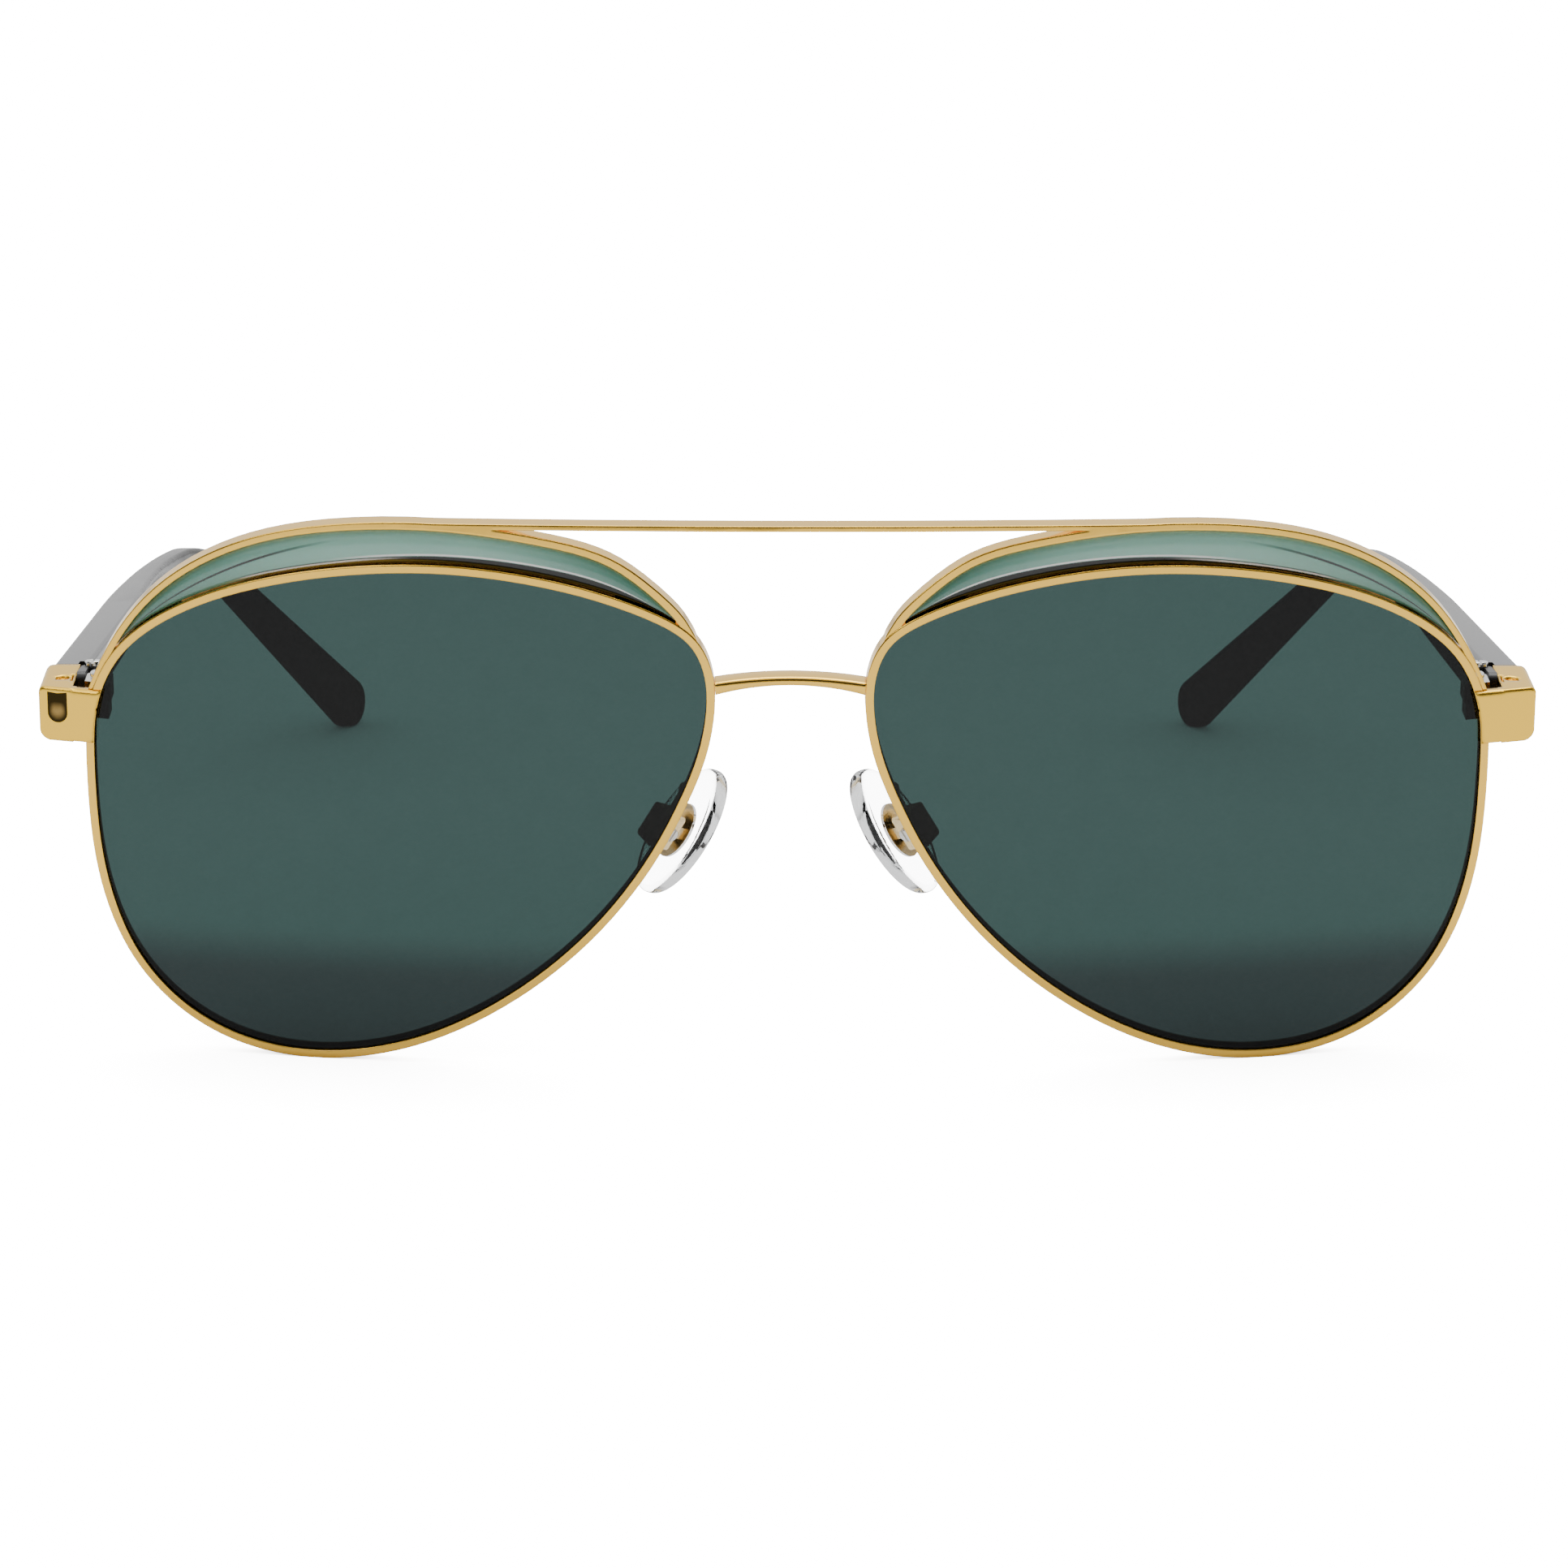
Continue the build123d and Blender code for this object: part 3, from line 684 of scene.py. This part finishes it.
@dataclass(frozen=True)
class CrescentFinish:
    """Translucent glossy crescent: paler in the middle, with painted shade, a painted dark
    reflection and painted highlight lines.

    It is drawn over two shares: along it from its outer end, and up it from its lower edge.
    A step is a pair of shares between which something comes in.

    Args:
        name: the material's name.
        pale: colour in the middle.
        deep: colour at both ends.
        dark: colour of the painted shade and the painted dark reflection.
        bright: colour of the painted highlight lines.
        outer_step: where the pale colour comes in, from the outer end.
        inner_step: the same from the inner end.
        cloud: how far the colour varies from place to place.
        grain: how fine that variation is, per metre.
        edge_step: where the shade under the upper edge comes in.
        edge_shade: how strong that shade is.
        crease: level at the outer end, and rise, of the painted shade line along the crease.
        crease_step: where it comes in, from either side of it.
        crease_end: where it comes in, from its inner end.
        band: height of the painted dark reflection band on the lower edge, and what it gains
            inward.
        band_rise: where it gains that height.
        band_step: where it comes in, from above its height.
        band_start: where it comes in, from the outer end.
        upper_line: where the painted highlight line on the band comes in, from below and above.
        upper_ends: the same from its two ends.
        lower_line: where the painted highlight line in the band comes in, from below and above.
        lower_ends: the same from its two ends.
        depth: share of light that goes into it and comes out again.
        coat: strength of its clear coat.
    """

    name: str
    pale: Colour
    deep: Colour
    dark: Colour
    bright: Colour
    outer_step: Step = (0.0, 0.42)
    inner_step: Step = (1.0, 0.62)
    cloud: float = 0.2
    grain: float = 150.0
    edge_step: Step = (0.90, 1.0)
    edge_shade: float = 0.6
    crease: Step = (0.22, 1.25)
    crease_step: Step = (0.05, 0.015)
    crease_end: Step = (0.42, 0.25)
    band: Step = (0.13, 0.16)
    band_rise: Step = (0.3, 0.85)
    band_step: Step = (0.03, -0.02)
    band_start: Step = (0.2, 0.27)
    upper_line: Line = ((0.0, 0.03), (0.09, 0.05))
    upper_ends: Line = ((0.36, 0.5), (0.97, 0.9))
    lower_line: Line = ((-0.09, -0.06), (-0.01, -0.04))
    lower_ends: Line = ((0.21, 0.26), (0.55, 0.4))
    depth: float = 0.15
    coat: float = 0.6

    def build(self) -> bpy.types.Material:
        """Makes the material.

        Returns:
            The material.
        """
        shader = Shader.for_material(self.name)
        place = shader.add("SeparateXYZ", Vector=shader.add("UVMap").outputs[0])
        along, up = place.outputs["X"], place.outputs["Y"]
        # Painted light: a dark reflection band along the lower edge, with highlight lines on and
        # in it.
        band_height, band_gain = self.band
        gain = shader.math("MULTIPLY", shader.ramp(along, *self.band_rise), band_gain)
        height = shader.math("SUBTRACT", up, shader.math("ADD", gain, band_height))
        band = shader.product(
            shader.ramp(height, *self.band_step), shader.ramp(along, *self.band_start)
        )
        upper = self._line(shader, height, self.upper_line, along, self.upper_ends)
        lower = self._line(shader, height, self.lower_line, along, self.lower_ends)
        colour = self._ground(shader, along, up)
        # Painted shade along the crease.
        colour = shader.blend(self._crease_shade(shader, along, up), colour, self.dark)
        colour = shader.blend(band, colour, self.dark)
        colour = shader.blend(shader.math("MAXIMUM", upper, lower), colour, self.bright)
        bare = shader.math("MULTIPLY", band, self.coat)
        surface = shader.add(
            "BsdfPrincipled",
            Base_Color=colour,
            Roughness=0.2,
            Subsurface_Weight=self.depth,
            Subsurface_Scale=1.0 * MM,
            Coat_Weight=shader.math("SUBTRACT", self.coat, bare),
            Coat_Roughness=0.04,
        )
        return shader.finish(surface.outputs["BSDF"])

    def _ground(
        self, shader: Shader, along: bpy.types.NodeSocket, up: bpy.types.NodeSocket
    ) -> bpy.types.NodeSocket:
        """Draws the clouded ground, darker at the ends, with painted shade under the upper edge.

        Args:
            shader: the shader that gets the nodes.
            along: place along the crescent.
            up: place up the crescent.

        Returns:
            The colour's socket.
        """
        middle = shader.product(
            shader.ramp(along, *self.outer_step), shader.ramp(along, *self.inner_step)
        )
        cloud = shader.math("MULTIPLY", shader.noise(self.grain), self.cloud)
        colour = shader.blend(shader.math("SUBTRACT", middle, cloud), self.deep, self.pale)
        shade = shader.math("MULTIPLY", shader.ramp(up, *self.edge_step), self.edge_shade)
        return shader.blend(shade, colour, self.dark)

    def _crease_shade(
        self, shader: Shader, along: bpy.types.NodeSocket, up: bpy.types.NodeSocket
    ) -> bpy.types.NodeSocket:
        """Draws the painted shade line along the thin crease that rises from the outer end.

        Args:
            shader: the shader that gets the nodes.
            along: place along the crescent.
            up: place up the crescent.

        Returns:
            The socket, 1 on the crease.
        """
        start, rise = self.crease
        level = shader.math("ADD", shader.math("MULTIPLY", along, rise), start)
        off = shader.math("ABSOLUTE", shader.math("SUBTRACT", up, level), 0.0)
        return shader.product(
            shader.ramp(off, *self.crease_step), shader.ramp(along, *self.crease_end)
        )

    @staticmethod
    def _line(
        shader: Shader,
        height: bpy.types.NodeSocket,
        limits: Line,
        along: bpy.types.NodeSocket,
        ends: Line,
    ) -> bpy.types.NodeSocket:
        """Draws a painted highlight line with soft edges and soft ends.

        Args:
            shader: the shader that gets the nodes.
            height: place across the line.
            limits: steps of the line's lower and upper edge.
            along: place along the line.
            ends: steps of its two ends.

        Returns:
            The socket, 1 on the line.
        """
        steps = [shader.ramp(height, *limit) for limit in limits]
        steps += [shader.ramp(along, *end) for end in ends]
        return shader.product(*steps)


@dataclass(frozen=True)
class Section:
    """An upright cut through a crescent.

    Args:
        low: its lowest level.
        high: its highest level.
        front: depth of its front face at its lower and its upper edge.
        back: the same of its back face.
    """

    low: float
    high: float
    front: Step
    back: Step

    def corner(self, across: float, up: float, face: Step, rise: float = 0.0) -> Vector:
        """Finds a place on one of its faces.

        Args:
            across: where the cut is.
            up: share of its height.
            face: the face's two depths.
            rise: how far the place stands in front of the straight face.

        Returns:
            The place.
        """
        depth = face[0] + (face[1] - face[0]) * up
        return Vector((across, depth - rise, self.low + (self.high - self.low) * up))


@dataclass
class BrowInserts:
    """Pale translucent crescents let into the brow, domed at the front.

    Args:
        finish: finish of the crescents.
        lean: degrees that the front leans forward.
        dome: how far the crescents bulge in the middle, in metres.
        steepest: largest bulge, as a share of the crescent's height there.
        end_gap: share of the crescent's length left out at each tip.
        edge_band: how near an edge a corner counts as on it.
        columns: steps along the crescent.
        rows: steps up the crescent.
    """

    finish: CrescentFinish = CrescentFinish(
        "brow_green",
        pale=(0.29, 0.55, 0.45),
        deep=(0.09, 0.25, 0.19),
        # dark and bright are painted shade, a painted dark reflection and painted highlights.
        dark=(0.004, 0.006, 0.005),
        bright=(0.9, 0.9, 0.88),
    )
    lean: float = 5.0
    dome: float = 0.3 * MM
    steepest: float = 0.25
    end_gap: float = 0.002
    edge_band: float = 0.02 * MM
    columns: int = 120
    rows: int = 14

    def build(self) -> None:
        """Builds both crescents in the CAD crescents' place."""
        green = self.finish.build()
        for side in Side:
            self._crescent(side, green)
        log.info("brow inserts built")

    def _section(
        self, points: list[Vector], edges: list[tuple[int, int]], across: float
    ) -> Section:
        """Cuts the CAD crescent at one place across.

        Args:
            points: its corners, upright.
            edges: pairs of corner numbers.
            across: where it is cut.

        Returns:
            The cut.
        """
        cut = []
        for a, b in edges:
            p, q = points[a], points[b]
            if (p.x - across) * (q.x - across) < 0:
                cut.append(p.lerp(q, (across - p.x) / (q.x - p.x)))
        low, high = min(p.z for p in cut), max(p.z for p in cut)
        lower = [p.y for p in cut if p.z < low + self.edge_band]
        upper = [p.y for p in cut if p.z > high - self.edge_band]
        return Section(low, high, (min(lower), min(upper)), (max(lower), max(upper)))

    def _crescent(self, side: Side, material: bpy.types.Material) -> None:
        """Builds one crescent.

        Args:
            side: which side it is on.
            material: its finish.
        """
        node = side.node("brow_insert")
        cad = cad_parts[node].data
        lean = Euler((math.radians(self.lean), 0.0, 0.0)).to_matrix()
        upright = lean.inverted()
        points = [upright @ v.co for v in cad.vertices]
        edges = [tuple(e.vertices) for e in cad.edges]
        ends = sorted((p.x for p in points), key=abs, reverse=True)
        outer, inner = ends[0], ends[-1]
        front, back, shares = [], [], []
        for i in range(self.columns + 1):
            wave = (1 - math.cos(math.pi * i / self.columns)) / 2
            along = self.end_gap + (1 - 2 * self.end_gap) * wave
            across = outer + (inner - outer) * along
            cut = self._section(points, edges, across)
            dome = min(self.dome, (cut.high - cut.low) * self.steepest)
            for j in range(self.rows + 1):
                up = j / self.rows
                rise = dome * math.sqrt(max(0.0, 1 - (2 * up - 1) ** 2))
                front.append(lean @ cut.corner(across, up, cut.front, rise))
                back.append(lean @ cut.corner(across, up, cut.back))
                shares.append((along, up))
        faces = self._faces(len(front))
        piece = add_piece(node + "_domed", front + back, faces, shares * 2, material)
        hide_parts(node)

    def _faces(self, total: int) -> list[tuple[int, ...]]:
        """Lists the faces of the front, the back and the edge between them.

        Args:
            total: points on the front.

        Returns:
            The corner numbers of each face.
        """
        wide, faces = self.rows + 1, []
        for i in range(self.columns):
            for j in range(self.rows):
                a = i * wide + j
                faces.append((a, a + 1, a + wide + 1, a + wide))
                faces.append((total + a, total + a + wide, total + a + wide + 1, total + a + 1))
            low, high = i * wide, i * wide + self.rows
            faces.append((low, low + wide, total + low + wide, total + low))
            faces.append((high, total + high, total + high + wide, high + wide))
        for start in (0, self.columns * wide):
            for j in range(start, start + self.rows):
                faces.append((j, total + j, total + j + 1, j + 1))
        return faces


@dataclass
class Hardware:
    """Hinges, locks, screws and the nose pads' metal.

    Args:
        gold: finish of the pads' metal.
        steel: finish of screws and locks.
        black: finish of the hinge leaves.
    """

    gold: Metal = Metal("soft_gold", (0.86, 0.68, 0.38), 0.22)
    steel: Metal = Metal("bright_steel", (0.70, 0.69, 0.66), 0.2)
    black: Metal = Metal("hinge_black", (0.015, 0.015, 0.016), 0.35, metallic=0.3)

    def build(self) -> None:
        """Dresses every small metal piece."""
        gold, steel, black = self.gold.build(), self.steel.build(), self.black.build()
        for side in Side:
            for piece in ("pad_arm", "pad_box", "pad_core", "endpiece_screw"):
                dress(side.node(piece), gold)
            for piece in ("rim_lock_upper", "rim_lock_lower", "rim_lock_screw", "pad_screw"):
                dress(side.node(piece), steel)
            dress(side.node("hinge_screw"), steel)
            dress(side.node("front_hinge"), black)
            dress(side.node("temple_hinge"), black)
        log.info("hardware dressed")


@dataclass
class NosePads:
    """Clear soft pads.

    Args:
        finish: finish of the pads.
    """

    finish: ClearSoft = ClearSoft(
        "clear_pad", (0.99, 0.99, 0.99), (0.96, 0.965, 0.97), roughness=0.02, bending=1.41
    )

    def build(self) -> None:
        """Dresses the pads."""
        clear = self.finish.build()
        for side in Side:
            dress(side.node("nose_pad"), clear)
        log.info("nose pads dressed")


@dataclass
class Temples:
    """Polished black temples and the wire inside them.

    Args:
        finish: finish of the temples.
        wire: finish of the hidden wires.
    """

    finish: Plastic = Plastic(
        "temple_black",
        (0.006, 0.006, 0.007),
        (0.010, 0.010, 0.011),
        roughness=0.16,
        coat=0.02,
        shine=0.2,
    )
    wire: Metal = Metal("core_steel", (0.55, 0.55, 0.55), 0.3)

    def build(self) -> None:
        """Dresses the temples."""
        black, steel = self.finish.build(), self.wire.build()
        for side in Side:
            dress(side.node("temple"), black)
            dress(side.node("temple_core"), steel)
        log.info("temples dressed")


@dataclass(frozen=True)
class SoftLight:
    """A square soft light.

    Args:
        name: its name.
        place: where it stands, in metres.
        aim: where it shines.
        size: its width.
        power: its power, in watts.
    """

    name: str
    place: Place
    aim: Place
    size: float
    power: float

    def build(self) -> None:
        """Adds the light."""
        data = bpy.data.lights.new(self.name, "AREA")
        data.size = self.size
        data.energy = self.power
        lamp = bpy.data.objects.new(self.name, data)
        lamp.location = self.place
        direction = Vector(self.aim) - Vector(self.place)
        lamp.rotation_euler = direction.to_track_quat("-Z", "Y").to_euler()
        bpy.context.scene.collection.objects.link(lamp)


@dataclass
class Studio:
    """Pale floor, soft light, surroundings that the metal mirrors, and the camera.

    Args:
        floor_colour: colour of the floor.
        floor_size: width of the floor.
        floor_cloud: how much darker the floor is in places, as a factor.
        floor_grain: how fine those places are, per metre.
        floor_glow: light that the floor and the backdrop send to the camera.
        front_shade: depths between which the floor in front turns dark, for what mirrors it.
        contact: how far the soft shade under the pieces reaches, in metres.
        contact_power: how strong that shade is.
        sky: light from all round.
        dark: light of the dark area above the camera, which the edges mirror.
        card_bottom: where the dark area comes in, from below.
        card_top: the same from above.
        card_side: the same from behind.
        lights: the soft lights.
        camera_place: where the camera stands, in metres.
        camera_turn: its tilt, roll and pan, in degrees.
        camera_lens: focal length, in millimetres.
        camera_sensor: width of its sensor, in millimetres.
        camera_range: nearest and farthest depth that it sees, in metres.
    """

    floor_colour: Colour = (0.86, 0.86, 0.86)
    floor_size: float = 30.0
    floor_cloud: float = 0.985
    floor_grain: float = 2.0
    floor_glow: float = 17.0
    front_shade: Step = (-0.36, -0.50)
    contact: float = 25.0 * MM
    contact_power: float = 0.7
    sky: float = 1.3
    dark: float = 0.04
    card_bottom: Step = (-0.02, 0.08)
    card_top: Step = (0.86, 0.72)
    card_side: Step = (0.15, -0.1)
    lights: list[SoftLight] = field(
        default_factory=lambda: [
            SoftLight("top_light", (0.1, 0.25, 0.9), (0.0, 0.0, 0.0), 0.7, 9.0),
            SoftLight("front_light", (-0.5, -0.6, 0.7), (0.0, -0.07, 0.03), 0.4, 2.0),
        ]
    )
    camera_place: Place = (-0.0074834, -0.5716665, 0.15535)
    camera_turn: Place = (75.8125, -0.2155, -0.7432)
    camera_lens: float = 125.45
    camera_sensor: float = 36.0
    camera_range: Step = (0.01, 60.0)

    def build(self) -> None:
        """Builds the floor, the light and the camera."""
        self._floor()
        self._surroundings()
        for light in self.lights:
            light.build()
        self._camera()
        log.info("studio built")

    @staticmethod
    def _seen(shader: Shader) -> bpy.types.NodeSocket:
        """Tells whether a place is seen by the camera, straight or through clear plastic.

        Args:
            shader: the shader that gets the nodes.

        Returns:
            The socket, 1 where it is seen.
        """
        path = shader.add("LightPath")
        straight, through = path.outputs["Is Camera Ray"], path.outputs["Is Transmission Ray"]
        unmirrored = shader.math("LESS_THAN", path.outputs["Glossy Depth"], 0.5)
        return shader.math("MAXIMUM", straight, shader.math("MULTIPLY", through, unmirrored))

    def _floor(self) -> None:
        """Adds the pale floor at table height."""
        half = self.floor_size / 2
        corners = [(-half, -half, 0.0), (half, -half, 0.0), (half, half, 0.0), (-half, half, 0.0)]
        mesh = bpy.data.meshes.new("floor")
        mesh.from_pydata(corners, [], [(0, 1, 2, 3)])
        floor = bpy.data.objects.new("floor", mesh)
        shader = Shader.for_material("pale_floor")
        shade = tuple(c * self.floor_cloud for c in self.floor_colour)
        colour = shader.blend(shader.noise(self.floor_grain), self.floor_colour, shade)
        place = shader.add("SeparateXYZ", Vector=shader.add("NewGeometry").outputs["Position"])
        far = shader.ramp(place.outputs["Y"], *self.front_shade)
        colour = shader.blend(far, colour, (self.dark, self.dark, self.dark))
        surface = shader.add("BsdfDiffuse", Color=colour)
        seen = self._seen(shader)
        # Painted shadow: the floor's glow is dimmed by ambient occlusion near the pieces.
        open_share = shader.add("AmbientOcclusion", Distance=self.contact).outputs["AO"]
        open_share = shader.math("POWER", open_share, self.contact_power)
        strength = shader.product(open_share, self.floor_glow, seen)
        glow = shader.add("Emission", Strength=strength)
        both = shader.add("AddShader")
        shader.tree.links.new(surface.outputs[0], both.inputs[0])
        shader.tree.links.new(glow.outputs[0], both.inputs[1])
        mesh.materials.append(shader.finish(both.outputs[0]))
        bpy.context.scene.collection.objects.link(floor)

    def _surroundings(self) -> None:
        """Makes the light from all round, with a dark area above the camera."""
        world = bpy.data.worlds.new("surroundings")
        bpy.context.scene.world = world
        world.use_nodes = True
        shader = Shader(world.node_tree, "ShaderNodeOutputWorld")
        way = shader.add("SeparateXYZ", Vector=shader.add("TexCoord").outputs["Generated"])
        up, back = way.outputs["Z"], way.outputs["Y"]
        card = shader.product(
            shader.ramp(up, *self.card_bottom),
            shader.ramp(up, *self.card_top),
            shader.ramp(back, *self.card_side),
        )
        bright = (self.sky, self.sky, self.sky)
        colour = shader.blend(card, bright, (self.dark, self.dark, self.dark))
        seen = self._seen(shader)
        strength = shader.math("ADD", shader.math("MULTIPLY", seen, self.floor_glow), 1.0)
        light = shader.add("Background", Color=colour, Strength=strength)
        shader.tree.links.new(light.outputs[0], shader.output.inputs["Surface"])

    def _camera(self) -> None:
        """Adds the camera at the viewing angle."""
        data = bpy.data.cameras.new("camera")
        data.sensor_width = self.camera_sensor
        data.lens = self.camera_lens
        data.clip_start, data.clip_end = self.camera_range
        camera = bpy.data.objects.new("camera", data)
        camera.location = self.camera_place
        camera.rotation_euler = Euler([math.radians(a) for a in self.camera_turn])
        bpy.context.scene.collection.objects.link(camera)
        bpy.context.scene.camera = camera


def corners(bounds: tuple[Vector, Vector]) -> list[list[float]]:
    """Turns a pair of corners into plain lists.

    Args:
        bounds: lowest and highest corner.

    Returns:
        Both corners as lists.
    """
    return [list(corner) for corner in bounds]


def main() -> None:
    """Builds the scene."""
    logging.basicConfig(level=logging.INFO, format="%(message)s")
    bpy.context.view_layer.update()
    for part in (Front(), EndpieceShadePatch(), Lenses(), BrowInserts(), Hardware()):
        part.build()
    for part in (NosePads(), Temples(), Studio()):
        part.build()


if __name__ == "__main__":
    main()
